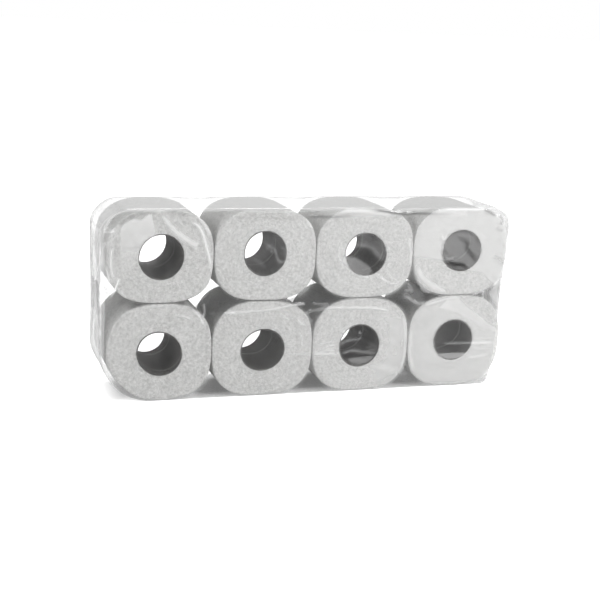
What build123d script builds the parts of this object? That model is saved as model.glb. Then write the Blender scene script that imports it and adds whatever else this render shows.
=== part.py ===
from build123d import *

import os

# Pack of toilet paper rolls lying on their sides, side by side and two high, in one clear film wrap.
#
# Frame: +Z up, X along the row of rolls, Y along the cores with the front at -Y.
# The origin is at the centre of the underside of the film. All sizes are in millimetres.

# Rolls. Packed tight, each is squeezed to a square outline with round corners.
COLUMNS = 4
ROLL_WIDTH = 107.7  # side to side, between the flats
BOTTOM_ROLL_HEIGHT = 101.0  # up and down, between the flats
TOP_ROLL_HEIGHT = 95.0
ROLL_LENGTH = 90.0  # along the core
ROLL_CORNER_RADIUS = 39.0
ROLL_RIM_RADIUS = 2.5  # the cut ends are pressed slightly round
ROLL_GAP = 0.3  # between neighbouring rolls

# Cardboard cores, cut flush with the paper.
CORE_INNER_RADIUS = 22.2
CORE_WALL = 0.8
CORE_FIT = 0.1  # between the core and the paper wound on it

# Film wrap. A tube of film runs round the front, top, back and underside, and is folded shut at both ends.
FILM_THICKNESS = 0.2
FILM_CLEARANCE = 0.3  # between the film and the rolls it lies on
END_SLACK = 3.0  # room between the end rolls and the folded ends

# End folds: side tucks go in first, then the upper flap comes down and the lower flap goes up over it.
FOLD_STEP = 0.2  # what each folded layer adds
TUCK_REACH = 34.0  # how far each side tuck comes in from the front or back edge
TUCK_INSET = 30.0  # how far below the top, and above the underside, a tuck's outer edge starts
FLAP_LENGTH = 112.0  # down from the top, or up from the underside
FLAP_TIP_WIDTH = 26.0
FLAP_SHOULDER = 14.0  # length over which a flap keeps its full width

# Lap seam along the back of the film tube.
SEAM_WIDTH = 14.0
SEAM_THICKNESS = 0.2

# Inside of the film.
ROLL_PITCH = ROLL_WIDTH + ROLL_GAP
CAVITY_WIDTH = COLUMNS * ROLL_PITCH - ROLL_GAP + 2 * END_SLACK
CAVITY_DEPTH = ROLL_LENGTH + 2 * FILM_CLEARANCE
CAVITY_HEIGHT = BOTTOM_ROLL_HEIGHT + ROLL_GAP + TOP_ROLL_HEIGHT + 2 * FILM_CLEARANCE
CAVITY_CORNER_RADIUS = ROLL_CORNER_RADIUS + FILM_CLEARANCE
CAVITY_EDGE_RADIUS = ROLL_RIM_RADIUS + FILM_CLEARANCE  # where the film turns over the rims of the rolls

# Outside of the film.
PACK_DEPTH = CAVITY_DEPTH + 2 * FILM_THICKNESS
PACK_HEIGHT = CAVITY_HEIGHT + 2 * FILM_THICKNESS
PACK_EDGE_RADIUS = CAVITY_EDGE_RADIUS + FILM_THICKNESS
MIDDLE = PACK_HEIGHT / 2  # height of the middle of the pack

# Heights of the cores in each row, and of the line between the rows.
BOTTOM_CENTRE = FILM_THICKNESS + FILM_CLEARANCE + BOTTOM_ROLL_HEIGHT / 2
TOP_CENTRE = BOTTOM_CENTRE + BOTTOM_ROLL_HEIGHT / 2 + ROLL_GAP + TOP_ROLL_HEIGHT / 2
ROW_LINE = BOTTOM_CENTRE + (BOTTOM_ROLL_HEIGHT + ROLL_GAP) / 2

# Each row: name, height of its rolls, height of its cores.
ROWS = (
    ("bottom", BOTTOM_ROLL_HEIGHT, BOTTOM_CENTRE),
    ("top", TOP_ROLL_HEIGHT, TOP_CENTRE),
)


def column_centre(column):
    """X of the cores in a column, counted from 1 at the left."""
    return (column - (COLUMNS + 1) / 2) * ROLL_PITCH


def rounded_block(width, depth, height, corner_radius, edge_radius):
    """A block along Y with round corners in front view and rounded front and back edges."""
    outline = Plane.XZ * RectangleRounded(width, height, corner_radius)
    block = extrude(outline, amount=depth / 2, both=True)
    ends = block.faces().sort_by(Axis.Y)
    return fillet(ends[0].edges() + ends[-1].edges(), edge_radius)


def paper_roll(height):
    """The wound paper of one roll, centred on the origin, with the bore that holds its core."""
    paper = rounded_block(
        ROLL_WIDTH, ROLL_LENGTH, height, ROLL_CORNER_RADIUS, ROLL_RIM_RADIUS
    )
    bore = Circle(CORE_INNER_RADIUS + CORE_WALL + CORE_FIT)
    return paper - extrude(Plane.XZ * bore, amount=ROLL_LENGTH, both=True)


def cardboard_core():
    """The tube that one roll is wound on, centred on the origin."""
    section = Circle(CORE_INNER_RADIUS + CORE_WALL) - Circle(CORE_INNER_RADIUS)
    return extrude(Plane.XZ * section, amount=ROLL_LENGTH / 2, both=True)


def film_block(layers):
    """The outside of the film, or of a number of folded layers lying on it at the ends."""
    block = rounded_block(
        CAVITY_WIDTH + 2 * (FILM_THICKNESS + layers * FOLD_STEP),
        PACK_DEPTH,
        PACK_HEIGHT,
        CAVITY_CORNER_RADIUS + FILM_THICKNESS,
        PACK_EDGE_RADIUS,
    )
    return Pos(0, 0, MIDDLE) * block


def film_cavity():
    """The space inside the film."""
    block = rounded_block(
        CAVITY_WIDTH,
        CAVITY_DEPTH,
        CAVITY_HEIGHT,
        CAVITY_CORNER_RADIUS,
        CAVITY_EDGE_RADIUS,
    )
    return Pos(0, 0, MIDDLE) * block


def end_prism(*points):
    """An outline of (y, z) points, with z from the middle of the pack, carried right through both ends."""
    outline = Plane.YZ * make_face(Polyline(*points, close=True))
    return Pos(0, 0, MIDDLE) * extrude(outline, amount=CAVITY_WIDTH, both=True)


def side_tuck(side):
    """Outline of the tuck that comes in from the front (side -1) or the back (side 1)."""
    edge = side * (PACK_DEPTH / 2 - PACK_EDGE_RADIUS)
    inner = edge - side * TUCK_REACH
    outer_half = PACK_HEIGHT / 2 - TUCK_INSET
    inner_half = outer_half - TUCK_REACH
    return end_prism(
        (edge, -outer_half),
        (edge, outer_half),
        (inner, inner_half),
        (inner, -inner_half),
    )


def flap(side):
    """Outline of the flap that comes down from the top (side 1) or up from the underside (side -1)."""
    root_half = PACK_DEPTH / 2 - PACK_EDGE_RADIUS
    tip_half = FLAP_TIP_WIDTH / 2
    root = side * PACK_HEIGHT / 2
    shoulder = root - side * (CAVITY_CORNER_RADIUS + FLAP_SHOULDER)
    tip = root - side * FLAP_LENGTH
    return end_prism(
        (-root_half, root),
        (-root_half, shoulder),
        (-tip_half, tip),
        (tip_half, tip),
        (root_half, shoulder),
        (root_half, root),
    )


def lap_seam():
    """The strip where the film tube's edges overlap, along the back between the rows."""
    strip = Box(CAVITY_WIDTH - 2 * CAVITY_EDGE_RADIUS, SEAM_THICKNESS, SEAM_WIDTH)
    return Pos(0, (PACK_DEPTH + SEAM_THICKNESS) / 2, ROW_LINE) * strip


def film_wrap():
    """The film as one closed skin, with its folded ends and its lap seam."""
    skin = film_block(0)
    skin += film_block(1) & side_tuck(-1)
    skin += film_block(1) & side_tuck(1)
    skin += film_block(2) & flap(1)
    skin += film_block(3) & flap(-1)
    skin += lap_seam()
    return skin - film_cavity()


os.makedirs("parts", exist_ok=True)
for row, roll_height, centre_height in ROWS:
    roll = paper_roll(roll_height)
    core = cardboard_core()
    for column in range(1, COLUMNS + 1):
        place = Pos(column_centre(column), 0, centre_height)
        export_step(place * roll, f"parts/{row}_roll_{column}.step")
        export_step(place * core, f"parts/{row}_core_{column}.step")
export_step(film_wrap(), "parts/film_wrap.step")
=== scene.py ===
import math

import bpy
import numpy as np
from mathutils import Matrix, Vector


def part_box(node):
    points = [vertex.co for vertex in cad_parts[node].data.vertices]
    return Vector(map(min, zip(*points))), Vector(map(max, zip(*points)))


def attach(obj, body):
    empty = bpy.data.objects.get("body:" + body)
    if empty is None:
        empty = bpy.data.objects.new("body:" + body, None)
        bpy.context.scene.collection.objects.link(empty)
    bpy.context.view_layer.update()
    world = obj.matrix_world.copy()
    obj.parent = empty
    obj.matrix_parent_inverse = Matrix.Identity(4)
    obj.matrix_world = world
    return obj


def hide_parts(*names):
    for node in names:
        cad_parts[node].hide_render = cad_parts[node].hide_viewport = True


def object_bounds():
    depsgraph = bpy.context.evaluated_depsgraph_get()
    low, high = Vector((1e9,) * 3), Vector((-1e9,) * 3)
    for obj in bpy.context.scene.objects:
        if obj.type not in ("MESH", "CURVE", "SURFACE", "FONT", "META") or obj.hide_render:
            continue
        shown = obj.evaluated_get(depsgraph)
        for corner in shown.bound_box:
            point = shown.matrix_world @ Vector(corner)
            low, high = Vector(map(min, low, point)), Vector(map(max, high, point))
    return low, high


# The looks of a pack of toilet paper rolls in clear film: wound paper, cardboard cores, and the film
# with its creases and folded ends. Metres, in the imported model's own frame.

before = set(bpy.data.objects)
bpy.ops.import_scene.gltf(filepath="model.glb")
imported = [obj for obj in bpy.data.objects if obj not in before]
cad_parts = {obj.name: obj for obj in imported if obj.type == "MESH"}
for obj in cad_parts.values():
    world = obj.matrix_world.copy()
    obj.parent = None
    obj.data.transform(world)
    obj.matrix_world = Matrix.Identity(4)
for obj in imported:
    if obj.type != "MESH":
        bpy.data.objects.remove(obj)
CAD_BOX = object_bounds()
MM = 0.001

ROWS = ("bottom", "top")
COLUMNS = 4

FILM_LOW, FILM_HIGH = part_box("film_wrap")
DEPTH = (FILM_HIGH.y - FILM_LOW.y) / 2  # from the middle of the pack to the front or back of the film
HEIGHT = FILM_HIGH.z
HALF_WIDTH = FILM_HIGH.x


# ---------------------------------------------------------------- numbers and noise


def smooth(t):
    """0 to 1 with level ends."""
    t = np.clip(t, 0.0, 1.0)
    return t * t * (3 - 2 * t)


def bell(x, width):
    return np.exp(-((x / width) ** 2))


class Noise:
    """Smooth noise from -1 to 1 over any two or three coordinates, the same at each run."""

    SIDE = 32

    def __init__(self, seed):
        self.table = np.random.default_rng(seed).uniform(-1, 1, (self.SIDE,) * 3)

    def __call__(self, x, y, z=0.0):
        x, y, z = np.broadcast_arrays(x, y, z)
        cell = [np.floor(c).astype(int) for c in (x, y, z)]
        part = [smooth(c - k) for c, k in zip((x, y, z), cell)]
        total = 0.0
        for dx in (0, 1):
            for dy in (0, 1):
                for dz in (0, 1):
                    weight = 1.0
                    for step, share in zip((dx, dy, dz), part):
                        weight = weight * (share if step else 1 - share)
                    index = [(k + d) % self.SIDE for k, d in zip(cell, (dx, dy, dz))]
                    total = total + weight * self.table[tuple(index)]
        return total


def layered(noise, x, y, z=0.0, octaves=3):
    """Noise with finer and fainter layers added."""
    total, size = 0.0, 1.0
    for octave in range(octaves):
        total = total + size * noise(x / size + 7 * octave, y / size + 3 * octave, z / size)
        size *= 0.5
    return total / 1.75


# ---------------------------------------------------------------- meshes


def grid_faces(rows, columns, wrap_rows=False, wrap_columns=False):
    """Four corners for each cell of a grid of points, row by row."""
    r = np.arange(rows if wrap_rows else rows - 1)
    c = np.arange(columns if wrap_columns else columns - 1)
    r, c = [k.ravel() for k in np.meshgrid(r, c, indexing="ij")]
    r1, c1 = (r + 1) % rows, (c + 1) % columns
    corners = [r * columns + c, r * columns + c1, r1 * columns + c1, r1 * columns + c]
    return np.stack(corners, -1)


def make_mesh(name, points, faces, material, **attributes):
    """A smooth-shaded object with one float attribute on its points for each keyword."""
    mesh = bpy.data.meshes.new(name)
    mesh.vertices.add(len(points))
    mesh.vertices.foreach_set("co", np.asarray(points, np.float32).ravel())
    mesh.loops.add(faces.size)
    mesh.loops.foreach_set("vertex_index", faces.astype(np.int32).ravel())
    mesh.polygons.add(len(faces))
    mesh.polygons.foreach_set("loop_start", np.arange(len(faces), dtype=np.int32) * 4)
    return close_mesh(mesh, material, attributes)


def close_mesh(mesh, material, attributes):
    """Finishes a mesh whose points and faces are in, and returns its object."""
    mesh.update(calc_edges=True)
    mesh.validate()
    mesh.shade_smooth()
    for key, values in attributes.items():
        layer = mesh.attributes.new(key, "FLOAT", "POINT")
        layer.data.foreach_set("value", np.asarray(values, np.float32).ravel())
    mesh.materials.append(material)
    made = bpy.data.objects.new(mesh.name, mesh)
    bpy.context.scene.collection.objects.link(made)
    return made


def place(piece, slot, *nodes):
    """Ties a piece to the pack's body and hides the CAD nodes it stands for; its finish, slot, is not used."""
    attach(piece, "root")
    if nodes:
        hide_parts(*nodes)


# ---------------------------------------------------------------- materials


class Nodes:
    """Short calls for building a material's nodes."""

    def __init__(self, name):
        self.material = bpy.data.materials.new(name)
        self.material.use_nodes = True
        self.tree = self.material.node_tree
        self.tree.nodes.clear()

    def add(self, kind, links=None, **values):
        """A node. values set its properties or, by their names, its input sockets. links joins sockets."""
        node = self.tree.nodes.new("ShaderNode" + kind)
        for key, value in values.items():
            if hasattr(node, key):
                setattr(node, key, value)
            else:
                node.inputs[key.replace("_", " ")].default_value = value
        for key, source in (links or {}).items():
            self.tree.links.new(source, node.inputs[key])
        return node

    def attribute(self, name):
        return self.add("Attribute", attribute_name=name).outputs["Fac"]

    def math(self, operation, a, b=0.0, clamp=False):
        node = self.add("Math", operation=operation, use_clamp=clamp)
        for index, value in enumerate((a, b)):
            if isinstance(value, (int, float)):
                node.inputs[index].default_value = value
            else:
                self.tree.links.new(value, node.inputs[index])
        return node.outputs[0]

    def noise(self, scale, detail=2.0, vector=None, roughness=0.5):
        vector = vector or self.add("TexCoord").outputs["Object"]
        node = self.add(
            "TexNoise", {"Vector": vector}, Scale=scale, Detail=detail, Roughness=roughness
        )
        return node.outputs["Fac"]

    def stretch(self, x, y, z):
        """The object's own coordinates, each multiplied."""
        source = self.add("TexCoord").outputs["Object"]
        return self.add("Mapping", {"Vector": source}, Scale=(x, y, z)).outputs[0]

    def span(self, value, low, high, out_low, out_high):
        """value, from low to high, carried to out_low to out_high."""
        node = self.add("MapRange", {"Value": value})
        for key, number in (
            ("From Min", low),
            ("From Max", high),
            ("To Min", out_low),
            ("To Max", out_high),
        ):
            node.inputs[key].default_value = number
        return node.outputs[0]

    def tint(self, factor, dark, light):
        """A colour between two greys, each given as (red, green, blue)."""
        node = self.add("Mix", {"Factor": factor}, data_type="RGBA")
        node.inputs[6].default_value = (*dark, 1)
        node.inputs[7].default_value = (*light, 1)
        return node.outputs[2]

    def bump(self, height, strength, distance):
        node = self.add("Bump", {"Height": height}, Strength=strength, Distance=distance)
        return node.outputs[0]

    def finish(self, shader):
        self.add("OutputMaterial", {"Surface": shader})
        return self.material


def tissue_material():
    """Recycled tissue: soft grey-white, with crepe lines, specks, and the edges of the turns at the ends, and painted
    shade in the grooves between loose outer turns.
    """
    n = Nodes("tissue")
    depth = n.attribute("wound")
    face = n.attribute("end_face")
    groove = n.attribute("groove")
    blotch = n.noise(330, 4, roughness=0.7)
    speck = n.noise(900, 3, roughness=0.7)
    crepe = n.noise(1.0, 2, n.stretch(700, 120, 700))
    wander = n.math("MULTIPLY", n.noise(90, 2), 2.2)
    turns = n.math("SINE", n.math("MULTIPLY", n.math("ADD", depth, wander), 2 * math.pi / 0.9))
    faint_turns = n.math("MULTIPLY", n.math("MULTIPLY", turns, face), 0.02)
    shade = n.math("ADD", n.math("MULTIPLY", blotch, 0.6), n.math("MULTIPLY", speck, 0.4))
    shade = n.math("ADD", shade, faint_turns)
    base = n.tint(n.span(shade, 0.36, 0.64, 0, 1), (0.43, 0.43, 0.425), (0.75, 0.75, 0.74))
    # The grooves between loose outer turns are painted a dark grey: painted shade.
    darker = n.add("Mix", {"Factor": groove}, data_type="RGBA")
    n.tree.links.new(base, darker.inputs[6])
    darker.inputs[7].default_value = (0.36, 0.36, 0.35, 1)
    relief = n.math("ADD", n.math("MULTIPLY", turns, n.math("MULTIPLY", face, 0.10)), crepe)
    relief = n.math("ADD", relief, n.math("MULTIPLY", speck, 1.2))
    relief = n.math("ADD", relief, n.math("MULTIPLY", blotch, 1.4))
    shader = n.add(
        "BsdfPrincipled",
        {"Base Color": darker.outputs[2], "Normal": n.bump(relief, 0.6, 0.0006)},
        Roughness=0.95,
    )
    shader.inputs["Specular IOR Level"].default_value = 0.15
    return n.finish(shader.outputs[0])


def board_material():
    """Grey cardboard of the cores, with the dark and light lines of its spiral wrap; its grey is set darker still so
    that the inside of the tubes stays dark, partly painted shade.
    """
    n = Nodes("core_board")
    seam = n.attribute("seam")
    fibre = n.noise(1.0, 3, n.stretch(900, 300, 900))
    # The board's grey is set well below its own tone, keeping the inside of the tubes dark: partly painted shade. The
    # seam line is lighter.
    base = n.tint(n.span(fibre, 0.3, 0.7, 0, 1), (0.062, 0.060, 0.057), (0.115, 0.112, 0.106))
    seamed_board = n.add("Mix", {"Factor": seam}, data_type="RGBA")
    n.tree.links.new(base, seamed_board.inputs[6])
    seamed_board.inputs[7].default_value = (0.30, 0.29, 0.28, 1)
    shader = n.add(
        "BsdfPrincipled",
        {"Base Color": seamed_board.outputs[2], "Normal": n.bump(fibre, 0.4, 0.0003)},
        Roughness=0.85,
    )
    shader.inputs["Specular IOR Level"].default_value = 0.25
    return n.finish(shader.outputs[0])


def film_material():
    """Clear film: see-through and glossy, milky where it is creased or lies double. Its milkiness also paints
    highlights and reflections of the lamps, and its shade darkens the clear part: painted shade at folds and over the
    gaps.
    """
    n = Nodes("clear_film")
    haze = n.attribute("haze")
    shade = n.attribute("shade")
    ripple = n.noise(1.0, 3, n.stretch(90, 90, 260))
    fine = n.noise(420, 2)
    relief = n.math("ADD", ripple, n.math("MULTIPLY", fine, 0.25))
    normal = n.bump(relief, 0.35, 0.0012)
    # shade darkens the clear film: painted shade at folds and over the gaps.
    tone = n.tint(shade, (0.985, 0.985, 0.985), (0.10, 0.10, 0.10))
    clear = n.add("BsdfTransparent", {"Color": tone})
    milk = n.add("BsdfDiffuse", {"Normal": normal}, Color=(0.92, 0.92, 0.92, 1))
    through = n.add("BsdfTranslucent", {"Normal": normal}, Color=(0.92, 0.92, 0.92, 1))
    milky = n.add("MixShader", {1: milk.outputs[0], 2: through.outputs[0]}, Fac=0.3)
    mottle = n.span(n.noise(35, 3), 0.35, 0.7, 0.0, 0.035)
    share = n.math("ADD", mottle, haze, clamp=True)
    body = n.add("MixShader", {0: share, 1: clear.outputs[0], 2: milky.outputs[0]})
    gloss = n.add("BsdfAnisotropic", {"Normal": normal}, Color=(0.62, 0.62, 0.62, 1), Roughness=0.17)
    bounce = n.add("Fresnel", {"Normal": normal}, IOR=1.45).outputs[0]
    capped = n.math("MINIMUM", bounce, 0.42)
    shader = n.add("MixShader", {0: capped, 1: body.outputs[0], 2: gloss.outputs[0]})
    return n.finish(shader.outputs[0])


TISSUE = tissue_material()
BOARD = board_material()
FILM = film_material()


# ---------------------------------------------------------------- rolls and cores

ROLL_SIDES = 180  # points round a roll
FACE_STEPS = 44  # from the bore to the rim on each end
SIDE_STEPS = 26  # along the outside
SQUARENESS = 2.8  # exponent of the outline: 2 is round, and larger is squarer
RIM = 2.2 * MM
SHEET_STEP = 0.4 * MM  # where the loose end of the paper stops


class Roll:
    """Where one roll is, and how it was squeezed and cut."""

    def __init__(self, row, column):
        self.row, self.column = row, column
        self.node = f"{row}_roll_{column}"
        self.core_node = f"{row}_core_{column}"
        low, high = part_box(self.node)
        self.centre = np.array((low + high) / 2)
        self.half = np.array((high - low) / 2)
        core_low, core_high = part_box(self.core_node)
        self.core_radius = (core_high.x - core_low.x) / 2
        self.seed = 10 * column + ROWS.index(row)
        self.rng = np.random.default_rng(self.seed)
        self.core_shift = np.array(CORE_SHIFTS[row][column - 1]) * MM
        self.core_oval = CORE_OVALS[row][column - 1]
        self.tail = self.rng.uniform(0, 2 * math.pi)
        self.squareness = CORNER_SQUARENESS.get((row, column), (SQUARENESS,) * 4)

    def outside(self, angle):
        """Distance from the middle to the outline at an angle from +X towards +Z."""
        power = np.interp(
            angle % (2 * math.pi),
            np.radians([45, 135, 225, 315, 405]),
            [*self.squareness, self.squareness[0]],
            period=2 * math.pi,
        )
        across = np.abs(np.cos(angle) / self.half[0]) ** power
        up = np.abs(np.sin(angle) / self.half[2]) ** power
        return (across + up) ** (-1 / power)

    def bore(self, angle):
        """Radius of the core's outside, which is a little out of round."""
        amount, lean = self.core_oval
        return self.core_radius * (1 + amount * np.cos(2 * (angle - math.radians(lean))))


# How far each core lies from the middle of its roll, (x, z) in millimetres, from left to right.
CORE_SHIFTS = {
    "bottom": [(-0.3, -1.2), (-0.2, -1.5), (-1.8, -1.0), (-1.2, 1.2)],
    "top": [(0.2, -0.2), (-0.8, 1.8), (0.3, -1.0), (1.6, 1.6)],
}
# How far out of round each core is, and which way it is longer, in degrees from +X.
CORE_OVALS = {
    "bottom": [(0.030, -40), (0.035, 15), (0.012, 80), (0.015, 30)],
    "top": [(0.010, 60), (0.015, 90), (0.020, -30), (0.015, 0)],
}
# Squareness of the corners at 45, 135, 225 and 315 degrees, where a roll differs from the rest.
CORNER_SQUARENESS = {
    ("bottom", 1): (2.8, 2.5, 1.85, 2.8),
    ("bottom", 4): (2.8, 2.8, 2.8, 2.6),
    ("top", 1): (2.7, 2.6, 2.7, 2.8),
}


def wall_path(length, face_steps, side_steps, inner_steps):
    """The way round a roll's wall, as (share from bore to outside, place along Y, end-face weight)."""
    half = length / 2
    face = np.linspace(0, 1, face_steps + 1)
    turn = np.linspace(0, math.pi / 2, 5)[1:]
    side = np.linspace(-half + RIM, half - RIM, side_steps + 1)[1:-1]
    bore = np.linspace(half, -half, inner_steps + 1)[1:-1]
    rim_in = RIM * (1 - np.sin(turn))
    share = [face, np.ones(4), np.ones(len(side)), np.ones(4), face[::-1], np.zeros(len(bore))]
    inset = [
        np.full(len(face), RIM),
        rim_in,
        np.zeros(len(side)),
        rim_in[::-1],
        np.full(len(face), RIM),
        np.zeros(len(bore)),
    ]
    down = RIM * (1 - np.cos(turn))
    along = [
        np.full(len(face), -half),
        -half + down,
        side,
        half - down[::-1],
        np.full(len(face), half),
        bore,
    ]
    on_face = [
        -np.ones(len(face)),
        -np.cos(turn),
        np.zeros(len(side)),
        np.cos(turn[::-1]),
        np.ones(len(face)),
        np.zeros(len(bore)),
    ]
    return [np.concatenate(k) for k in (share, inset, along, on_face)]


def make_roll(roll):
    """The wound paper: squeezed outline, uneven cut ends, a few loose outer turns, and the loose end."""
    angle = np.linspace(0, 2 * math.pi, ROLL_SIDES, endpoint=False)[None, :]
    share, inset, along, on_face = wall_path(2 * roll.half[1], FACE_STEPS, SIDE_STEPS, 8)
    share, inset, along, on_face = [k[:, None] for k in (share, inset, along, on_face)]
    noise = Noise(roll.seed)
    outer = roll.outside(angle) - inset * (share > 0)
    inner = roll.bore(angle) + 0.15 * MM
    ragged = 0.35 * MM * noise(angle * 9, 0.5) * np.abs(on_face)
    radius = inner + ragged * (1 - share) + (outer - inner) * share
    paper = (outer - inner) * share / MM
    turn_number = paper / 1.25 - angle / (2 * math.pi)
    ridges = 0.22 * noise(turn_number, angle * 0.8) + 0.12 * noise(turn_number * 2.3, angle * 2)
    dish = 0.5 * noise(share * 1.5, np.cos(angle), np.sin(angle))
    loose = smooth((paper - 20) / 8) * smooth(noise(angle * 1.3, 4.0) * 2.5)
    # groove: the gaps between loose outer turns; the tissue material paints shade into them.
    groove = loose * smooth(1 - np.abs(np.sin(turn_number * 2.2)) * 5)
    end_relief = (ridges + dish - 0.5 * groove) * MM
    tail_share = ((angle - roll.tail) / (2 * math.pi)) % 1.0
    on_side = (share >= 1) * (1 - np.abs(on_face))
    dents = 0.45 * MM * noise(3 * np.cos(angle), 3 * np.sin(angle), along / (25 * MM))
    radius = radius - on_side * (SHEET_STEP * tail_share + np.abs(dents))
    y = along + on_face * (end_relief - 0.4 * MM)
    shift = roll.core_shift[:, None, None] * (1 - share)
    x = roll.centre[0] + shift[0] + radius * np.cos(angle)
    z = roll.centre[2] + shift[1] + radius * np.sin(angle)
    y = roll.centre[1] + np.broadcast_to(y, x.shape)
    points = np.stack([x, y, z], -1)
    made = make_mesh(
        f"{roll.row}_tissue_{roll.column}",
        points.reshape(-1, 3),
        grid_faces(*x.shape, True, True)[:, ::-1],
        TISSUE,
        wound=paper * np.ones_like(x),
        end_face=np.abs(on_face) * np.ones_like(x),
        groove=groove * np.abs(on_face),
    )
    place(made, "tissue", roll.node)


CORE_SIDES = 128
CORE_STEPS = 56
CORE_WALL = 0.8 * MM
SEAM_PITCH = 62 * MM  # how far the spiral wrap climbs in one turn


def make_core(roll):
    """The cardboard tube: a spiral-wound wall whose inner ply shows its lapped edge."""
    angle = np.linspace(0, 2 * math.pi, CORE_SIDES, endpoint=False)[None, :]
    half = roll.half[1]
    noise = Noise(100 + roll.seed)
    inner_y = np.linspace(-half, half, CORE_STEPS + 1)
    outer_y = np.linspace(half, -half, 9)
    along = np.concatenate([inner_y, outer_y])[:, None]
    wall = np.concatenate([np.zeros(len(inner_y)), np.full(len(outer_y), CORE_WALL)])[:, None]
    start = roll.rng.uniform(0, 1)
    climb = (along / SEAM_PITCH + start + angle / (2 * math.pi)) % 1.0
    off_seam = (climb - 0.5) * SEAM_PITCH
    seam = bell(off_seam, 1.1 * MM) * (wall == 0)
    dents = 0.35 * MM * noise(2 * np.cos(angle), 2 * np.sin(angle), along / (30 * MM))
    ends = 0.3 * MM * noise(2 * np.cos(angle) + 5, 2 * np.sin(angle))
    radius = roll.bore(angle) - CORE_WALL + wall
    radius = radius - (wall == 0) * (0.25 * MM * seam + np.abs(dents) * 0.5)
    x = roll.centre[0] + roll.core_shift[0] + radius * np.cos(angle)
    z = roll.centre[2] + roll.core_shift[1] + radius * np.sin(angle)
    y = roll.centre[1] + along * (1 - 0.004) + ends * np.sign(along)
    points = np.stack([x, np.broadcast_to(y, x.shape), z], -1)
    made = make_mesh(
        f"{roll.row}_tube_{roll.column}",
        points.reshape(-1, 3),
        grid_faces(*x.shape, True, True),
        BOARD,
        seam=bell(off_seam, 0.7 * MM) * (wall == 0) * np.ones_like(x),
    )
    place(made, "core_board", roll.core_node)


# ---------------------------------------------------------------- film

FRONT_ACROSS = 340  # cells of the front along X; the back has half as many each way
FRONT_UP = 150
BAND_ROWS = 34  # rows of cells from front to back between the rounded edges
EDGE = 3.2 * MM  # roundness where the film turns over the rims of the rolls


class Marks:
    """What creases and milky patches do to one side of the film, over its flat (u, v) points. Their milkiness is
    partly painted highlight and reflection, and their shade is painted shade.
    """

    def __init__(self, u, v):
        self.u, self.v = u, v
        self.lift, self.haze, self.shade = np.zeros((3, len(u)))

    def near(self, low, high, reach):
        low, high = low - reach, high + reach
        inside = (self.u > low[0]) & (self.u < high[0]) & (self.v > low[1]) & (self.v < high[1])
        return np.nonzero(inside)[0]

    def crease(self, points, height=0.6, width=1.5, haze=0.2, shade=0.0, sharp=1.2, ends=0.25):
        """A crest along a curve. Points, height and width are in millimetres. width may be (start, end)."""
        line = curve(np.array(points, float) * MM)
        start, end = (width, width) if isinstance(width, (int, float)) else width
        near = self.near(line.min(0), line.max(0), 4 * max(start, end) * MM)
        if not len(near):
            return
        distance, spot = from_line(np.stack([self.u[near], self.v[near]], -1), line)
        wide = (start + (end - start) * spot) * MM
        taper = smooth(spot / ends) * smooth((1 - spot) / ends)
        crest = height * MM * taper * np.exp(-((distance / wide) ** sharp))
        self.lift[near] = np.maximum(self.lift[near], crest)
        # Milkiness along a crease paints its glint as a highlight; shade paints shade into it.
        mark = taper * np.exp(-((distance / (0.75 * wide)) ** 2))
        self.haze[near] += haze * mark
        self.shade[near] += shade * mark

    def patch(self, points, haze, soft=1.5, fade=(1.0, 1.0), shade=0.0):
        """A milky patch inside an outline, which may paint a reflection, or with shade, painted shade. fade is its
        strength at its top and at its foot.
        """
        outline = np.array(points, float) * MM
        near = self.near(outline.min(0), outline.max(0), 2 * soft * MM)
        if not len(near):
            return
        p = np.stack([self.u[near], self.v[near]], -1)
        distance = from_line(p, np.vstack([outline, outline[:1]]))[0]
        signed = np.where(inside(p, outline), distance, -distance)
        cover = smooth(0.5 + signed / (2 * soft * MM))
        foot, top = outline[:, 1].min(), outline[:, 1].max()
        level = np.clip((p[:, 1] - foot) / (top - foot), 0, 1)
        cover = cover * (fade[1] + (fade[0] - fade[1]) * level)
        self.haze[near] += haze * cover
        self.shade[near] += shade * cover

    def scatter(self, rng, count, low, high, angle, spread, length, **crease):
        """Random small creases in a box, near one direction in degrees."""
        for _ in range(count):
            middle = rng.uniform(low, high)
            turn = math.radians(angle + rng.uniform(-spread, spread))
            half = 0.5 * length * rng.uniform(0.5, 1.4)
            run = half * np.array([math.cos(turn), math.sin(turn)])
            bow = rng.uniform(-0.22, 0.22) * np.array([-run[1], run[0]])
            self.crease([middle - run, middle + bow, middle + run], **crease)


def curve(knots, steps=24):
    """A smooth line through the knots."""
    if len(knots) < 3:
        t = np.linspace(0, 1, 3)[:, None]
        return knots[0] * (1 - t) + knots[-1] * t
    full = np.vstack([2 * knots[0] - knots[1], knots, 2 * knots[-1] - knots[-2]])
    line = []
    t = np.linspace(0, 1, max(3, steps // (len(knots) - 1)), endpoint=False)[:, None]
    for a, b, c, d in zip(full, full[1:], full[2:], full[3:]):
        even = 2 * b + (c - a) * t + (2 * a - 5 * b + 4 * c - d) * t**2
        line.append(0.5 * (even + (3 * b - a - 3 * c + d) * t**3))
    return np.vstack([*line, knots[-1:]])


def from_line(p, line):
    """How far each point is from a line of points, and how far along the line, from 0 to 1."""
    best, spot = np.full(len(p), 1e9), np.zeros(len(p))
    for index, (a, b) in enumerate(zip(line, line[1:])):
        run = b - a
        t = np.clip(((p - a) @ run) / max(run @ run, 1e-12), 0, 1)
        off = p - a - t[:, None] * run
        distance = np.hypot(off[:, 0], off[:, 1])
        closer = distance < best
        best[closer] = distance[closer]
        spot[closer] = (index + t[closer]) / (len(line) - 1)
    return best, spot


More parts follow.
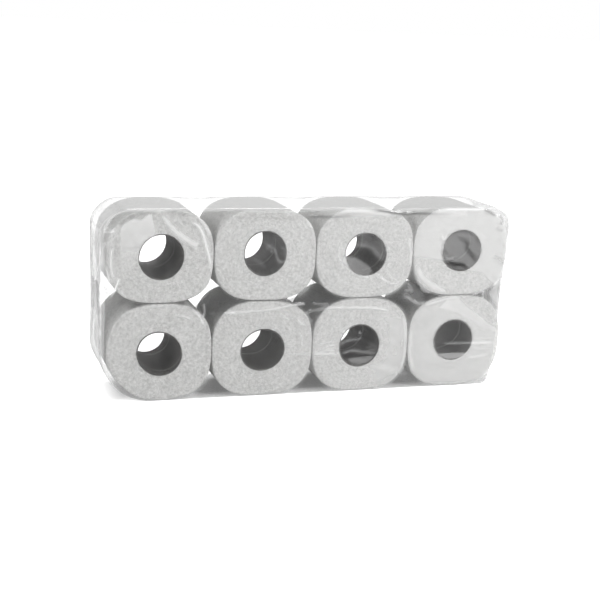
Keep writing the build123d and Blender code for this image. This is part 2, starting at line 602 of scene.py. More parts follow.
def inside(p, outline):
    """Which points lie inside a closed outline."""
    within = np.zeros(len(p), bool)
    for a, b in zip(outline, np.roll(outline, -1, 0)):
        crosses = (a[1] > p[:, 1]) != (b[1] > p[:, 1])
        rise = b[1] - a[1] if b[1] != a[1] else 1e-12
        at = a[0] + (p[:, 1] - a[1]) / rise * (b[0] - a[0])
        within ^= crosses & (p[:, 0] < at)
    return within


def corner_arc(corner, before, after, radius, count):
    """Points of the arc that rounds one corner of an outline."""
    to_before = (before - corner) / np.linalg.norm(before - corner)
    to_after = (after - corner) / np.linalg.norm(after - corner)
    half_angle = math.acos(np.clip(to_before @ to_after, -1, 1)) / 2
    middle = (to_before + to_after) / np.linalg.norm(to_before + to_after)
    centre = corner + middle * radius / math.sin(half_angle)
    start = corner + to_before * radius / math.tan(half_angle) - centre
    end = corner + to_after * radius / math.tan(half_angle) - centre
    first, last = math.atan2(start[1], start[0]), math.atan2(end[1], end[0])
    sweep = (last - first + math.pi) % (2 * math.pi) - math.pi
    angles = first + sweep * np.linspace(0, 1, count)
    return centre + radius * np.stack([np.cos(angles), np.sin(angles)], -1)


def film_corners():
    """Corners of the film in front view, (x, z, radius) in millimetres, clockwise from the upper left.

    The film leans in a little at the right, and is rounder at the lower left than at the lower right.
    """
    wide, tall = HALF_WIDTH / MM, HEIGHT / MM
    return [
        (-wide - 1.0, tall, 28),
        (wide, tall, 19),
        (wide - 6.0, tall / 2, 200),
        (wide - 7.0, tall * 0.22, 90),
        (wide - 15.0, 0.0, 8),
        (-wide, 0.0, 50),
    ]


def film_outline():
    """The film's outline in front view as four sides, each from one corner's middle to the next."""
    corners = [np.array(c) * MM for c in film_corners()]
    line, middles = [], []
    for index, (x, z, radius) in enumerate(corners):
        before, after = corners[index - 1][:2], corners[(index + 1) % len(corners)][:2]
        if index in (0, 1, 4, 5):
            middles.append(len(line) + 12)
        line.extend(corner_arc(np.array([x, z]), before, after, radius, 25))
    line = np.array(line)
    ends = zip(middles, middles[1:])
    sides = [line[a : b + 1] for a, b in ends]
    sides.append(np.vstack([line[middles[3] :], line[: middles[0] + 1]]))
    counts = (FRONT_ACROSS, FRONT_UP, FRONT_ACROSS, FRONT_UP)
    return [resample(side, count) for side, count in zip(sides, counts)]


def resample(line, count):
    """count + 1 points, evenly spaced along a line."""
    steps = np.linalg.norm(np.diff(line, axis=0), axis=1)
    distance = np.concatenate([[0], np.cumsum(steps)])
    wanted = np.linspace(0, distance[-1], count + 1)
    return np.stack([np.interp(wanted, distance, line[:, k]) for k in (0, 1)], -1)


def fill_panel(top, right, bottom, left):
    """A grid of (x, z) points inside four sides that run clockwise from the upper left."""
    u = np.linspace(0, 1, len(top))[None, :, None]
    v = np.linspace(0, 1, len(right))[:, None, None]
    upper, lower = top[None], bottom[::-1][None]
    west, east = left[::-1][:, None], right[:, None]
    corners = (
        (1 - u) * (1 - v) * top[0]
        + u * (1 - v) * top[-1]
        + (1 - u) * v * bottom[-1]
        + u * v * bottom[0]
    )
    return (1 - v) * upper + v * lower + (1 - u) * west + u * east - corners


def outward_of(loop):
    """Unit directions out of a clockwise loop of (x, z) points."""
    ahead = np.roll(loop, -1, 0) - np.roll(loop, 1, 0)
    outward = np.stack([-ahead[:, 1], ahead[:, 0]], -1)
    return outward / np.linalg.norm(outward, axis=1)[:, None]


def rim_ring(panel):
    """The border of a grid of points, clockwise from the upper left, as numbers of its points."""
    rows, columns = panel.shape[:2]
    index = np.arange(rows * columns).reshape(rows, columns)
    return np.concatenate([index[0, :-1], index[:-1, -1], index[-1, :0:-1], index[:0:-1, 0]])


class FilmShape:
    """Points and faces of the smooth film: a fine front, a band round the rim, and a coarser back."""

    def __init__(self):
        sides = film_outline()
        loop = np.vstack([side[:-1] for side in sides])
        self.loop, self.outward = loop, outward_of(loop)
        shrunk = loop - EDGE * self.outward
        closed = np.vstack([shrunk, shrunk[:1]])
        cuts = np.cumsum([0] + [len(side) - 1 for side in sides])
        inner = [closed[a : b + 1] for a, b in zip(cuts, cuts[1:])]
        self.points, self.quads, self.triangles = [], [], []
        self.total = 0
        front_rim = self.panel(fill_panel(*inner), -DEPTH)
        quarter = np.linspace(0, math.pi / 2, 5)[1:]
        round_y, round_in = EDGE * (1 - np.cos(quarter)), EDGE * (1 - np.sin(quarter))
        span = np.linspace(-DEPTH + EDGE, DEPTH - EDGE, BAND_ROWS + 1)[1:-1]
        fine = len(span) // 2 + 2
        rings = [front_rim]
        for y, shrink in [*zip(-DEPTH + round_y, round_in), *((y, 0.0) for y in span[:fine])]:
            rings.append(self.ring(y, shrink, 1))
            self.quads.append(self.strip(rings[-2], rings[-1]))
        coarse = [*((y, 0.0) for y in span[fine:]), *zip(DEPTH - round_y[::-1], round_in[::-1])]
        for number, (y, shrink) in enumerate(coarse):
            rings.append(self.ring(y, shrink, 2))
            if number:
                self.quads.append(self.strip(rings[-2], rings[-1]))
            else:
                self.stitch(rings[-2], rings[-1])
        back_rim = self.panel(fill_panel(*[side[::2] for side in inner]), DEPTH)
        self.quads.append(self.strip(rings[-1], back_rim))
        self.points = np.vstack(self.points)
        self.quads, self.triangles = np.vstack(self.quads), np.vstack(self.triangles)

    def panel(self, grid, y):
        """Adds the front or the back and returns its border."""
        rows, columns = grid.shape[:2]
        cells = grid_faces(rows, columns) + self.total
        self.quads.append(cells[:, ::-1] if y < 0 else cells)
        points = np.stack([grid[..., 0], np.full((rows, columns), y), grid[..., 1]], -1)
        rim = rim_ring(grid) + self.total
        self.points.append(points.reshape(-1, 3))
        self.total += rows * columns
        return rim

    def ring(self, y, shrink, every):
        """Adds one ring round the rim, at a place in depth, with every or every second point."""
        flat = (self.loop - shrink * self.outward)[::every]
        self.points.append(np.stack([flat[:, 0], np.full(len(flat), y), flat[:, 1]], -1))
        self.total += len(flat)
        return np.arange(self.total - len(flat), self.total)

    @staticmethod
    def strip(near, far):
        return np.stack([near, np.roll(near, -1), np.roll(far, -1), far], -1)

    def stitch(self, fine, coarse):
        """Joins a ring to one with half as many points."""
        a, b, c = fine[::2], fine[1::2], np.roll(fine[::2], -1)
        p, q = coarse, np.roll(coarse, -1)
        for corners in ((a, b, p), (b, q, p), (b, c, q)):
            self.triangles.append(np.stack(corners, -1))

    def normals(self):
        """Directions out of the film at each point, from the shape that it has before it is creased."""
        total = np.zeros_like(self.points)
        for faces in (self.quads, self.triangles):
            a, b, c = (self.points[faces[:, k]] for k in (0, 1, 2))
            normal = np.cross(b - a, c - a)
            for k in range(faces.shape[1]):
                np.add.at(total, faces[:, k], normal)
        return total / np.linalg.norm(total, axis=1)[:, None]


def make_film_mesh(name, shape, points, **attributes):
    mesh = bpy.data.meshes.new(name)
    quads, triangles = shape.quads.astype(np.int32), shape.triangles.astype(np.int32)
    corners = np.concatenate([quads.ravel(), triangles.ravel()])
    starts = np.concatenate(
        [np.arange(len(quads)) * 4, quads.size + np.arange(len(triangles)) * 3]
    )
    mesh.vertices.add(len(points))
    mesh.vertices.foreach_set("co", points.astype(np.float32).ravel())
    mesh.loops.add(len(corners))
    mesh.loops.foreach_set("vertex_index", corners)
    mesh.polygons.add(len(starts))
    mesh.polygons.foreach_set("loop_start", starts.astype(np.int32))
    return close_mesh(mesh, FILM, attributes)


def roll_distance(x, z, rolls):
    """How far (x, z) lies outside the nearest roll's outline. It is negative inside one."""
    nearest = np.full(x.shape, 1e9)
    for roll in rolls:
        dx, dz = x - roll.centre[0], z - roll.centre[2]
        radius = np.hypot(dx, dz)
        nearest = np.minimum(nearest, radius - roll.outside(np.arctan2(dz, dx)))
    return nearest


def bore_depth(x, z, rolls):
    """1 at the middle of a core, and 0 at its wall and outside it."""
    depth = np.zeros(x.shape)
    for roll in rolls:
        dx = x - roll.centre[0] - roll.core_shift[0]
        dz = z - roll.centre[2] - roll.core_shift[1]
        depth = np.maximum(depth, 1 - (np.hypot(dx, dz) / roll.core_radius) ** 2)
    return depth


def front_marks(marks, rolls):
    """Creases and milky patches over the cut ends of the rolls, set out from the middle of each roll."""
    centres = {(roll.row, roll.column): roll.centre[[0, 2]] / MM for roll in rolls}
    for where, points, details in FRONT_CREASES:
        marks.crease(centres[where] + np.array(points), **details)
    for where, points, details in FRONT_PATCHES:
        marks.patch(centres[where] + np.array(points), **details)


T1, T2, T3, T4 = [("top", column) for column in (1, 2, 3, 4)]
B1, B2, B3, B4 = [("bottom", column) for column in (1, 2, 3, 4)]

# Points are in millimetres from the middle of the roll that is named: across, and up.
# Milkiness on the creases is partly the film's whitening and partly painted glints; shade and negative milkiness are
# painted shade.
FRONT_CREASES = [
    # Upper left roll: a broad fold and a narrow one run down from its top to its right side, their milkiness a painted
    # highlight, like that of the line along its top edge. The bands under that edge are painted shade.
    (T1, [(-1, 44), (7, 33), (17, 23), (30, 14), (38, 10)], dict(height=1.6, width=(2.0, 5.0), haze=0.30, ends=0.12)),
    (T1, [(27, 34), (34, 33), (40, 26), (45, 11), (49, -4), (50, -21)], dict(height=1.3, width=1.9, haze=0.42)),
    (T1, [(34, 43), (43, 32), (50, 19)], dict(height=0.8, width=1.5, haze=0.25)),
    (T1, [(-58, 41), (-43, 46), (-28, 47), (-5, 48.5), (15, 48.5)], dict(height=0.8, width=1.6, haze=0.25)),
    (T1, [(-43, 31), (-36, 38), (-23, 43), (-3, 46)], dict(height=0.3, width=2.6, haze=0.0, shade=0.22)),
    (T1, [(2, 47), (15, 45), (28, 40)], dict(height=0.3, width=3.0, haze=0.0, shade=0.18)),
    # Loose folds at its left, which gather towards the line between the rows.
    (T1, [(-51, 19), (-57, 11), (-57, -4), (-53, -19), (-49, -31)], dict(height=2.4, width=2.0, haze=0.38)),
    (T1, [(-59, -9), (-56, -24), (-52, -33)], dict(height=1.8, width=2.0, haze=0.36)),
    (T1, [(-41, -18), (-45, -29), (-51, -43)], dict(height=1.6, width=1.6, haze=0.48)),
    (T1, [(-64, -22), (-61, -34), (-56, -42)], dict(height=1.4, width=1.8, haze=0.36)),
    (T1, [(-62, 27), (-52, 26), (-45, 28)], dict(height=1.4, width=2.2, haze=0.30)),
    (T1, [(-47, 16), (-50, 1), (-49, -14), (-45, -22)], dict(height=1.2, width=1.5, haze=0.22)),
    (T1, [(-44, 20), (-46, 8), (-45, -5)], dict(height=0.6, width=2.2, haze=0.0, shade=0.16)),
    (T1, [(-56, -30), (-53, -36), (-50, -39)], dict(height=0.0, width=1.3, haze=-0.2, shade=0.30)),
    (T1, [(-43, -31), (-35, -41)], dict(height=0.6, width=1.2, haze=0.20)),
    (T1, [(-41, 12), (-30, 9), (-20, 12)], dict(height=0.4, width=1.2, haze=0.0, shade=0.10)),
    (T1, [(-35, -23), (-26, -19), (-19, -21)], dict(height=0.5, width=1.4, haze=0.14)),
    (T1, [(18, -25), (25, -35), (31, -41)], dict(height=0.4, width=1.2, haze=0.10)),
    # The long pleats along the upper front edge, with painted shade along the dark lines under them.
    (T2, [(-36, 47), (0, 45), (29, 44.5), (54, 46)], dict(height=0.9, width=1.6, haze=0.10)),
    (T2, [(-40, 38), (-10, 39), (20, 37), (40, 38)], dict(height=0.5, width=1.4, haze=0.0, shade=0.14)),
    (T2, [(-28, 48), (0, 46.5), (30, 46)], dict(height=0.0, width=2.0, haze=0.0, shade=0.16)),
    (T2, [(38, 40), (60, 39), (80, 40), (96, 42)], dict(height=0.9, width=2.0, haze=0.0, shade=0.55)),
    (T3, [(-52, 44), (-20, 45), (10, 43), (30, 40)], dict(height=1.2, width=2.4, haze=0.16)),
    (T3, [(-6, 47), (16, 45), (36, 42), (60, 41.8), (108, 41)], dict(height=1.1, width=2.1, haze=-0.2, shade=0.6)),
    (T3, [(28, 46), (48, 46.2), (70, 45)], dict(height=0.9, width=1.4, haze=0.26)),
    (T4, [(-30, 46), (0, 46), (26, 45)], dict(height=0.8, width=1.8, haze=0.18)),
    # Second roll of the upper row: a fan of short creases at its right.
    (T2, [(-32, 52), (-44, 40), (-50, 27)], dict(height=0.8, width=1.8, haze=0.16)),
    (T2, [(-44, 31), (-36, 24), (-28, 17)], dict(height=0.5, width=1.3, haze=0.12)),
    (T2, [(31, 34), (36, 29), (38, 25)], dict(height=0.6, width=1.1, haze=0.18)),
    (T2, [(35, 37), (40, 30), (43, 26)], dict(height=0.6, width=1.1, haze=0.16)),
    (T2, [(40, 38), (44, 32), (50, 26)], dict(height=0.6, width=1.2, haze=0.20)),
    (T2, [(28, 12), (38, 0), (44, -16)], dict(height=0.5, width=1.4, haze=0.08)),
    (T2, [(34, 16), (44, 2), (48, -10)], dict(height=0.5, width=1.2, haze=0.08)),
    # Its core: small swirls.
    (T2, [(-4, 14), (4, 8), (6, 0)], dict(height=0.7, width=1.3, haze=0.16)),
    (T2, [(4, 12), (9, 5), (13, -6), (18, -9)], dict(height=0.8, width=1.4, haze=0.22)),
    (T2, [(0, 4), (2, 9), (8, 13)], dict(height=0.5, width=1.1, haze=0.14)),
    (T2, [(12, -4), (18, -7), (22, -5)], dict(height=0.6, width=1.2, haze=0.18)),
    (T2, [(-14, -3), (-8, -6), (0, -14)], dict(height=0.5, width=2.4, haze=0.10)),
    (T2, [(16, 10), (20, 4), (21, -4)], dict(height=0.5, width=2.2, haze=0.12)),
    # Third roll of the upper row: a broad swirl over its core and creases below it.
    (T3, [(-14, 9), (2, 8), (11, 1), (18, -10)], dict(height=1.0, width=3.6, haze=0.13)),
    (T3, [(8, -19), (26, -31), (42, -33)], dict(height=0.6, width=1.1, haze=0.16)),
    (T3, [(16, -20), (21, -28), (28, -31)], dict(height=0.5, width=1.1, haze=0.16)),
    (T3, [(-13, -18), (-2, -24), (8, -26)], dict(height=0.6, width=1.6, haze=0.24)),
    (T3, [(22, -14), (30, -26), (44, -34)], dict(height=0.5, width=1.4, haze=0.10)),
    (T3, [(-38, -14), (-30, -26), (-14, -34)], dict(height=0.6, width=2.6, haze=0.08)),
    (T3, [(-28, 12), (-30, 0), (-25, -16)], dict(height=0.5, width=2.0, haze=0.10)),
    (T3, [(45, 20), (50, 0), (50, -18)], dict(height=0.6, width=2.2, haze=0.14)),
    # Right-hand roll of the upper row: the dark bands over its core and the dark creases at its upper right are
    # painted shade.
    (T4, [(-51, -10), (-43, -26), (-28, -38), (-10, -45)], dict(height=1.2, width=4.0, haze=0.20)),
    (T4, [(-8, 19), (6, 11), (8, 3), (16, -6), (22, -13)], dict(height=0.6, width=3.6, haze=-0.20)),
    (T4, [(-17, -8), (-7, -13), (3, -14), (12, -19)], dict(height=0.4, width=2.8, haze=-0.34)),
    (T4, [(-22, 3), (-17, 0), (-15, -3)], dict(height=0.5, width=1.4, haze=-0.2)),
    (T4, [(-20, -6), (-12, -7), (-6, -5)], dict(height=0.6, width=1.2, haze=0.16)),
    (T4, [(-25, 20), (-20, 14), (-17, 20)], dict(height=0.5, width=1.2, haze=0.16)),
    (T4, [(22, 47), (32, 43), (40, 38)], dict(height=0.8, width=2.2, haze=-0.2, shade=0.55)),
    (T4, [(41, 41), (46, 34), (46, 28)], dict(height=0.8, width=3.0, haze=-0.2, shade=0.4)),
    (T4, [(39, 27), (44, 24), (49, 22)], dict(height=0.6, width=2.0, haze=-0.1, shade=0.20)),
    (T4, [(49, 33), (53, 26), (56, 17)], dict(height=1.2, width=1.2, haze=0.30)),
    (T4, [(52, 38), (56, 30), (57.5, 14), (56, -8)], dict(height=1.0, width=1.8, haze=0.0, shade=0.36)),
    (T4, [(40, 16), (46, 12), (51, 4)], dict(height=0.6, width=1.4, haze=0.0, shade=0.10)),
    (T4, [(38, -5), (46, -8), (55, -13)], dict(height=0.7, width=3.0, haze=-0.14, shade=0.05)),
    # Lower left roll.
    (B1, [(-26, 46), (-10, 48), (5, 48.5), (22, 47.5)], dict(height=0.6, width=1.3, haze=0.18)),
    (B1, [(14, 38.5), (24, 37.5), (34, 33)], dict(height=0.8, width=2.0, haze=0.22)),
    (B1, [(31, 44), (40, 36), (46, 26)], dict(height=0.8, width=1.5, haze=0.24)),
    (B1, [(-40, 20), (-44, 4), (-40, -16)], dict(height=0.4, width=2.0, haze=0.06)),
    # Second roll of the lower row: a tight pull line along its top.
    (B2, [(-45, 38.5), (-38, 39.5), (-30, 39.5)], dict(height=0.8, width=2.0, haze=0.26)),
    (B2, [(-42, 39.5), (-20, 40), (0, 41.3), (14, 43), (29, 45.5), (46, 46)], dict(height=0.9, width=1.4, haze=0.28, ends=0.1)),
    (B2, [(16, 38), (21, 34), (27, 30)], dict(height=0.7, width=1.3, haze=0.22)),
    (B2, [(27, 30), (32, 33), (37, 31)], dict(height=0.6, width=1.3, haze=0.12)),
    (B2, [(34, 31), (38, 27), (46, 24)], dict(height=0.7, width=2.2, haze=0.18)),
    (B2, [(31, 34), (34, 29), (36, 22)], dict(height=0.3, width=1.5, haze=0.0, shade=0.10)),
    (B2, [(39, 22), (37.5, 8), (39, -3)], dict(height=0.5, width=1.2, haze=0.0, shade=0.10)),
    (B2, [(36, 20), (42, 8), (41, -4)], dict(height=0.5, width=1.6, haze=0.12)),
    (B2, [(25, -7), (40, -7), (56, -8)], dict(height=0.5, width=1.2, haze=0.14)),
    (B2, [(24, 10), (32, 18), (40, 21)], dict(height=0.4, width=1.3, haze=0.10)),
    # Third roll of the lower row: its pull line, and waves that run level across its core.
    (B3, [(-52, 38), (-39, 41), (-24, 41.3), (-4, 40.3), (16, 39.3), (32, 36)], dict(height=1.0, width=1.6, haze=0.26, ends=0.12)),
    (B3, [(-56, -8), (-40, -8.5), (-23, -10)], dict(height=0.7, width=1.2, haze=0.26)),
    (B3, [(-46, -3), (-36, 0), (-26, 1.5)], dict(height=0.5, width=1.0, haze=0.15)),
    (B3, [(-49, -6), (-38, -5), (-26, -5)], dict(height=0.5, width=1.0, haze=0.14)),
    (B3, [(-50, 3), (-38, 4), (-26, 7)], dict(height=0.5, width=1.0, haze=0.12)),
    (B3, [(-25, 0), (-16, 5), (-4, 6), (1, 7.5)], dict(height=0.9, width=2.0, haze=0.22, ends=0.15)),
    (B3, [(-4, 13.5), (-2, 13), (1, 12.5)], dict(height=0.7, width=1.6, haze=0.34)),
    (B3, [(-23, -9), (-9, -6), (1, -8), (19, -10)], dict(height=1.1, width=2.4, haze=0.24, ends=0.1)),
    (B3, [(4, -5), (12, -2.5), (19, -3)], dict(height=0.6, width=1.1, haze=0.16)),
    (B3, [(5, -8), (12, -6), (19, -6.5)], dict(height=0.6, width=1.1, haze=0.16)),
    (B3, [(7, 3), (12, 0), (18, 1)], dict(height=0.5, width=1.3, haze=0.10)),
    (B3, [(-26, 15), (-20, 13), (-14, 16)], dict(height=0.6, width=1.2, haze=0.16)),
    (B3, [(-24, 20), (-18, 17), (-13, 19)], dict(height=0.5, width=1.0, haze=0.12)),
    (B3, [(-36, 30), (-30, 26), (-27, 22)], dict(height=0.5, width=1.2, haze=0.10)),
    (B3, [(44, 34), (48, 22), (50, 0), (49, -22), (43, -36)], dict(height=0.7, width=1.8, haze=0.14)),
    (B3, [(4, -22), (24, -26), (44, -31)], dict(height=0.7, width=4.0, haze=0.08)),
    # Right-hand roll of the lower row: level streaks.
    (B4, [(-14, -2.5), (0, -2.8), (21, -3), (50, -4)], dict(height=1.0, width=1.9, haze=0.28, ends=0.18)),
    (B4, [(14, -20), (30, -18.5), (44, -17)], dict(height=0.7, width=1.4, haze=0.18)),
    (B4, [(22, 2), (34, 1), (50, 2)], dict(height=0.5, width=1.2, haze=0.08)),
    (B4, [(20, -9), (34, -10), (49, -10)], dict(height=0.5, width=1.4, haze=0.07)),
    (B4, [(-42, 40), (-22, 45), (-8, 48), (10, 48)], dict(height=0.8, width=1.8, haze=0.20)),
    (B4, [(49, 66), (50.5, 50), (51, 30)], dict(height=0.5, width=1.6, haze=-0.2, shade=0.4)),
    (B4, [(-50, 20), (-52, 0), (-50, -20), (-44, -36)], dict(height=0.6, width=2.4, haze=0.14)),
    # Glints in the gaps between the rolls, painted as milkiness, with some painted shade.
    (B2, [(-64, 51), (-63, 42), (-65, 35)], dict(height=0.9, width=1.6, haze=0.34)),
    (B2, [(-57, 40), (-53, 39)], dict(height=0.6, width=1.4, haze=0.22, ends=0.4)),
    (B2, [(-72, 44), (-67, 34), (-62, 24)], dict(height=0.6, width=1.6, haze=0.10)),
    (B2, [(23, 50), (26, 53), (30, 56)], dict(height=0.8, width=1.6, haze=0.34)),
    (B2, [(30, 46), (38, 46.3), (46, 46)], dict(height=0.9, width=1.4, haze=0.30)),
    (B3, [(-58, 47.5), (-48, 45.5), (-38, 46)], dict(height=0.8, width=1.4, haze=0.26)),
    (B3, [(-68, 36), (-50, 40), (-34, 47)], dict(height=0.8, width=1.8, haze=0.22)),
    (B3, [(-64, 40), (-60, 32), (-56, 24)], dict(height=0.7, width=2.6, haze=0.12)),
    (B3, [(-76, 52), (-66, 58), (-59, 68)], dict(height=0.7, width=3.0, haze=0.16)),
    (B4, [(-64, 52), (-56, 49), (-49, 44), (-42, 43), (-36, 47)], dict(height=1.6, width=2.2, haze=0.34)),
    (B4, [(-61, 66), (-55, 61), (-52, 53)], dict(height=1.2, width=1.8, haze=0.22)),
    (B4, [(-58, 69), (-50, 66), (-44, 58), (-34, 53)], dict(height=1.2, width=1.6, haze=-0.1, shade=0.2)),
    (B4, [(-46, 62), (-40, 57), (-30, 54)], dict(height=1.2, width=1.8, haze=0.24)),
    (B4, [(-63, 60), (-58, 57), (-54, 59)], dict(height=0.9, width=1.4, haze=0.20)),
    (B4, [(-61, -40), (-55, -42), (-49, -41)], dict(height=0.8, width=1.4, haze=0.26)),
    (B4, [(-60, -36), (-56, -34), (-51, -36)], dict(height=0.7, width=1.4, haze=0.18)),
]

# Milky patches, some where the film lies loose or double, some painted reflections of the lamps, such as the broad
# light patch on the upper left roll and the lighter upper part of the right-hand roll of the upper row.
FRONT_PATCHES = [
    (T1, [(-41, 28), (-37, 34), (-27, 39), (-21, 37), (-16, 41), (-11, 44), (-6, 22), (-16, 17), (-24, 4), (-30, -14), (-41, -16)],
     dict(haze=0.34, soft=1.0, fade=(1.0, 0.2))),
    (T1, [(-70, 36), (-42, 30), (-43, -20), (-51, -42), (-66, -44)], dict(haze=0.10, soft=4)),
    (T1, [(-23, -2), (-5, 3), (-5, -5), (-20, -8)], dict(haze=0.12, soft=1.5)),
    (T1, [(-21, -8), (-6, -5), (-8, -20), (-16, -16)], dict(haze=0.03, soft=1.2)),
    (T2, [(-20, 20), (16, 20), (24, 0), (14, -18), (-10, -20), (-22, -6)], dict(haze=0.05, soft=4)),
    (T3, [(-10, 8), (-10, 20), (0, 22), (8, 16), (0, 10)], dict(haze=0.10, soft=3)),
    (T3, [(-25, -2), (-9, -5), (4, -13), (8, -19), (3, -24), (-15, -18), (-26, -8)], dict(haze=0.26, soft=1.5)),
    (T3, [(-14, 8), (4, 8), (12, -2), (20, -10), (24, 6), (14, 20), (6, 12)], dict(haze=0.12, soft=3)),
    (T3, [(-52, 48), (-54, 40), (-20, 38), (30, 40), (60, 40), (112, 40), (112, 46), (40, 48)], dict(haze=0.12, soft=2.5)),
    (T4, [(-54, -3), (-37, -6), (-17, -9), (13, -19), (28, -23), (36, -31), (44, -37), (60, -22), (62, 30), (45, 47), (-54, 45)],
     dict(haze=0.13, soft=2.0)),
    (T4, [(-23, 4), (-14, 18), (0, 22), (14, 18), (24, 4), (22, -10), (12, -18), (0, -20), (-14, -14)], dict(haze=0.17, soft=2)),
    (B3, [(-15, -15), (0, -13.5), (16, -13), (12, -17), (6, -20.5), (-2, -21.5), (-10, -19.5)], dict(haze=0.26, soft=0.9)),
    (B3, [(-54, 8), (-24, 8), (-24, -12), (-54, -11)], dict(haze=0.07, soft=5)),
    (B3, [(10, 40), (48, 30), (52, -30), (20, -48), (-40, -46), (-20, -28), (22, -24), (26, 10)], dict(haze=0.06, soft=8)),
    (B4, [(-18, -13.6), (0, -13.7), (16, -14.2), (12, -17), (6, -19.5), (-1, -20.5), (-8, -19.5), (-14, -17)],
     dict(haze=0.42, soft=0.7)),
    (B4, [(-20, 38), (-12, 46), (2, 47), (13, 37), (28, 27), (38, 19), (52, 11), (52, 7), (28, 17), (12, 26), (0, 32)],
     dict(haze=0.17, soft=1.6)),
    (B4, [(-56, 40), (-10, 44), (0, 30), (40, 12), (52, 6), (46, -46), (-50, -48)], dict(haze=0.06, soft=4)),
    (B4, [(37, 52), (44, 63), (52, 68), (52, 33), (44, 42)], dict(haze=0.40, soft=2)),
    (B4, [(-64, 50), (-60, 66), (-50, 70), (-36, 56), (-44, 42)], dict(haze=0.12, soft=3)),
    (B4, [(-58, -26), (-63, -40), (-48, -40)], dict(haze=0.10, soft=3)),
]


def gap_marks(marks, rolls, gap):
    """Where four rolls meet, the film dips into the gap, and painted shade makes it dark there. The floor-level
    notches stay clear.
    """
    middle = bell(marks.v - 100 * MM, 17 * MM)
    dark = smooth(gap / (1.2 * MM)) * middle
    inner = smooth((HALF_WIDTH - 22 * MM - np.abs(marks.u)) / (12 * MM))
    marks.shade += 0.62 * dark * inner
    window = np.array(GAP_WINDOW) * MM
    left_over = inside(np.stack([marks.u, marks.v], -1), window)
    marks.shade -= 0.62 * dark * left_over
    marks.haze += 0.05 * dark * inner


# The part of the left-hand gap that shows the white beyond, where the painted shade is taken off, (x, z) in
# millimetres.
GAP_WINDOW = [(-138, 102), (-131, 94), (-103, 120), (-107, 128)]


def top_marks(marks):
    """Pleats along the top, drawn tight from end to end, and milky film between them."""
    rng = np.random.default_rng(51)
    low, high = np.array([-HALF_WIDTH, -DEPTH]), np.array([HALF_WIDTH, DEPTH])
    marks.haze += 0.30
    marks.scatter(rng, 34, low, high, 0, 4, 0.13, height=0.9, width=2.2, haze=0.20, ends=0.3)
    marks.scatter(rng, 22, low, high, 0, 9, 0.07, height=0.7, width=1.8, haze=0.16, shade=0.06)
    marks.scatter(rng, 8, low, high, 35, 50, 0.03, height=0.2, width=1.8, haze=0.2)


def base_marks(marks):
    rng = np.random.default_rng(52)
    low, high = np.array([-HALF_WIDTH, -DEPTH]), np.array([HALF_WIDTH, DEPTH])
    marks.haze += 0.06
    marks.scatter(rng, 40, low, high, 0, 12, 0.09, height=0.6, width=2.2, haze=0.16)


def end_marks(marks, seed):
    """The film under an end's folds: gathers that run in from the corners to the line between the rows."""
    rng = np.random.default_rng(seed)
    marks.haze += 0.30
    row_line = HEIGHT * 0.52
    for corner_y in (-DEPTH, DEPTH):
        for corner_z, count in ((HEIGHT - 20 * MM, 9), (20 * MM, 9)):
            for _ in range(count):
                start = np.array([corner_y * 0.96, corner_z + rng.uniform(-22, 22) * MM])
                stop = np.array([corner_y * rng.uniform(0.05, 0.5), row_line + rng.uniform(-16, 16) * MM])
                bow = (start + stop) / 2 + rng.uniform(-7, 7, 2) * MM
                marks.crease(
                    np.array([start, bow, stop]) / MM,
                    height=rng.uniform(0.6, 1.8),
                    width=rng.uniform(1.8, 3.2),
                    haze=rng.uniform(0.12, 0.34),
                )
    low, high = np.array([-DEPTH, 0]), np.array([DEPTH, HEIGHT])
    marks.scatter(rng, 24, low, high, 90, 22, 0.05, height=0.9, width=2.0, haze=0.2)


def back_marks(marks):
    """Plain tension lines across the back, strongest near the lap seam."""
    rng = np.random.default_rng(54)
    low, high = np.array([-HALF_WIDTH, 0]), np.array([HALF_WIDTH, HEIGHT])
    marks.haze += 0.10
    # A shaded, milky patch behind the third lower core hides the white beyond it: painted shade.
    marks.patch([(20, 38), (52, 40), (60, 78), (30, 80)], haze=0.25, soft=5, shade=0.6)
    marks.scatter(rng, 46, low, high, 0, 14, 0.06, height=0.7, width=2.6, haze=0.12)
    seam_low = np.array([-HALF_WIDTH, SEAM_Z - 28 * MM])
    seam_high = np.array([HALF_WIDTH, SEAM_Z + 28 * MM])
    marks.scatter(rng, 60, seam_low, seam_high, 90, 24, 0.03, height=0.8, width=2.2, haze=0.14)


def front_scatter(marks):
    """Fine creases that a stretched film has everywhere, beside the larger ones."""
    rng = np.random.default_rng(55)
    low, high = np.array([-HALF_WIDTH, 4 * MM]), np.array([HALF_WIDTH, HEIGHT])
    marks.scatter(rng, 70, low, high, 0, 25, 0.022, height=0.22, width=1.3, haze=0.055)
    marks.scatter(rng, 60, low, high, 90, 40, 0.016, height=0.22, width=1.2, haze=0.05)
    rim_low = np.array([-HALF_WIDTH, HEIGHT - 14 * MM])
    marks.scatter(rng, 34, rim_low, high, 0, 4, 0.07, height=0.5, width=1.5, haze=0.12, shade=0.03)


SEAM_Z = 104 * MM  # height of the lap seam on the back


